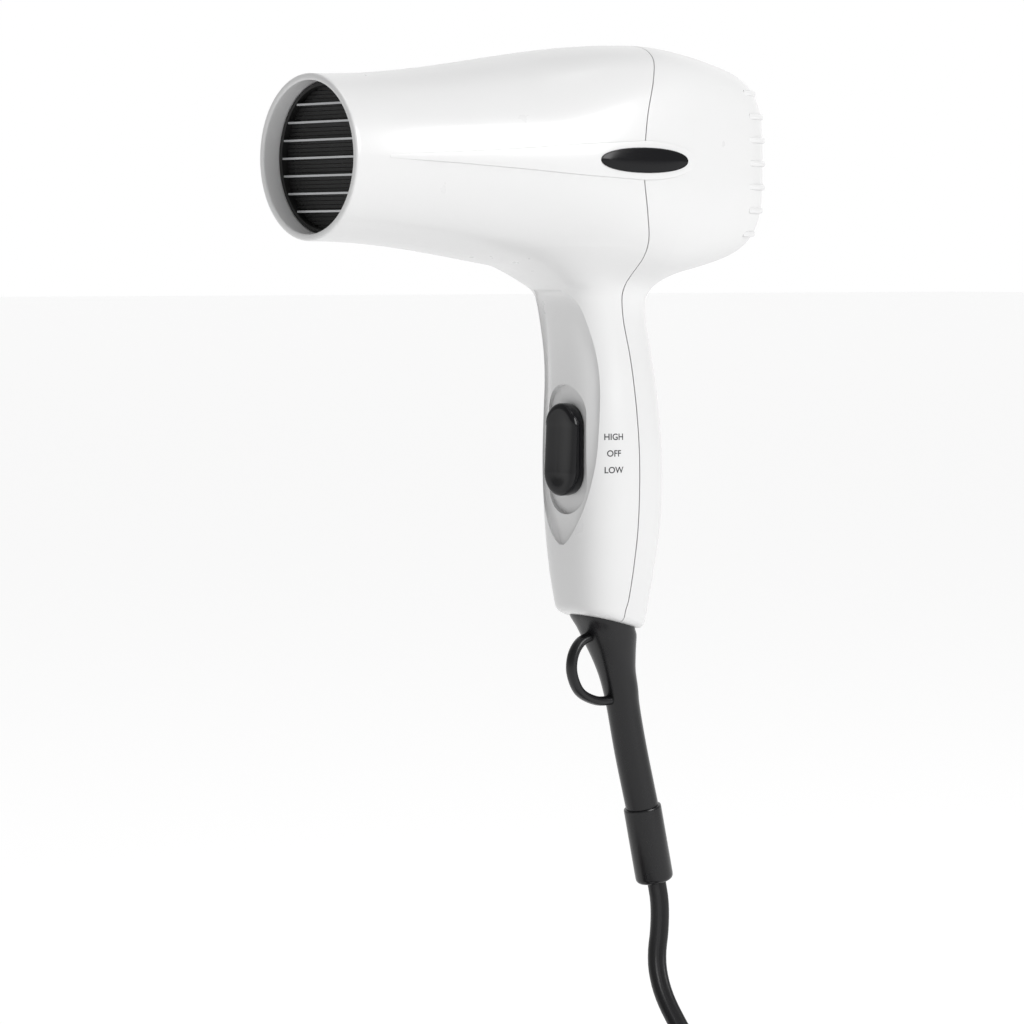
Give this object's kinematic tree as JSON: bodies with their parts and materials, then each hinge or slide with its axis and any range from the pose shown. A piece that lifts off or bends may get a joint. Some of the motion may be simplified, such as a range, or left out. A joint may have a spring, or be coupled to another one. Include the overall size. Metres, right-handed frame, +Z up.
{
  "type": "hair dryer",
  "caption": "Pistol-grip hair dryer with a tapered barrel, grilled air outlet, ribbed rear intake, slide switch on the grip, and a cord with a hanging loop and a safety plug.",
  "frame": {"origin": "middle of the hand grip, where the hand holds the dryer", "axes": "+Z up along the grip to the barrel; -X the way the air blows; the object is symmetric left and right about Y = 0 apart from the switch leads, the boards and the stored cord"},
  "size_m": [0.1661, 0.1305, 0.3395],
  "materials": {
    "white_shell": "moulded, satin gloss",
    "gloss_black": "moulded, glossy",
    "black_plastic": "moulded, satin",
    "heatproof_black": "moulded, fine matt",
    "soft_black": "soft moulded vinyl, satin",
    "mica_board": "pressed mica sheet",
    "heater_wire": "drawn resistance wire",
    "zinc_steel": "zinc plated",
    "brass_metal": "stamped, bright",
    "circuit_board": "lacquered laminate",
    "amber_plastic": "moulded, satin",
    "lead_insulation": "vinyl insulation, satin",
    "test_blue": "moulded, satin",
    "reset_red": "moulded, satin"
  },
  "bodies": {
    "housing": {"front_housing": "white_shell", "rear_housing": "white_shell", "badge_left": "gloss_black", "badge_right": "gloss_black", "screw_upper": "zinc_steel", "screw_lower": "zinc_steel", "outlet_grille": "heatproof_black", "mica_sleeve": "mica_board", "mica_board_vertical": "mica_board", "mica_board_horizontal": "mica_board", "heater_coil_1": "heater_wire", "heater_coil_2": "heater_wire", "heater_coil_3": "heater_wire", "heater_coil_4": "heater_wire", "thermostat": "brass_metal", "thermal_fuse": "zinc_steel", "fan_duct": "heatproof_black", "motor_can": "zinc_steel", "motor_cap": "heatproof_black", "lint_screen": "black_plastic", "switch_body": "black_plastic", "rectifier_board": "circuit_board", "diode_1": "black_plastic", "diode_2": "black_plastic", "diode_3": "black_plastic", "diode_4": "black_plastic", "filter_capacitor": "amber_plastic", "cord_clamp": "black_plastic", "lead_supply_live": "lead_insulation", "lead_supply_neutral": "lead_insulation", "lead_heater_live": "lead_insulation", "strain_relief": "soft_black", "relief_collar": "soft_black", "power_cord": "soft_black", "cord_coil": "soft_black", "coil_tie": "black_plastic", "plug_lead": "soft_black", "plug_relief": "soft_black", "plug_body": "black_plastic", "pin_neutral": "brass_metal", "pin_live": "brass_metal"},
    "fan_rotor": {"motor_shaft": "zinc_steel", "fan": "heatproof_black"},
    "switch": {"switch_knob": "gloss_black", "switch_slider": "amber_plastic"},
    "test_button": {"test_button": "test_blue"},
    "reset_button": {"reset_button": "reset_red"}
  },
  "joints": [
    {"name": "fan_spin", "type": "hinge", "parent": "housing", "child": "fan_rotor", "pos_m": [0.004, 0, 0.091], "axis": [1, 0, 0], "continuous": true},
    {"name": "switch_slide", "type": "slide", "parent": "housing", "child": "switch", "axis": [0, 0, 1], "range_m": [-0.0054, 0.0054]},
    {"name": "test_press", "type": "slide", "parent": "housing", "child": "test_button", "axis": [0, 0, -1], "range_m": [0, 0.0015], "stiffness_N_per_m": 600},
    {"name": "reset_press", "type": "slide", "parent": "housing", "child": "reset_button", "axis": [0, 0, -1], "range_m": [0, 0.0015], "stiffness_N_per_m": 600}
  ]
}
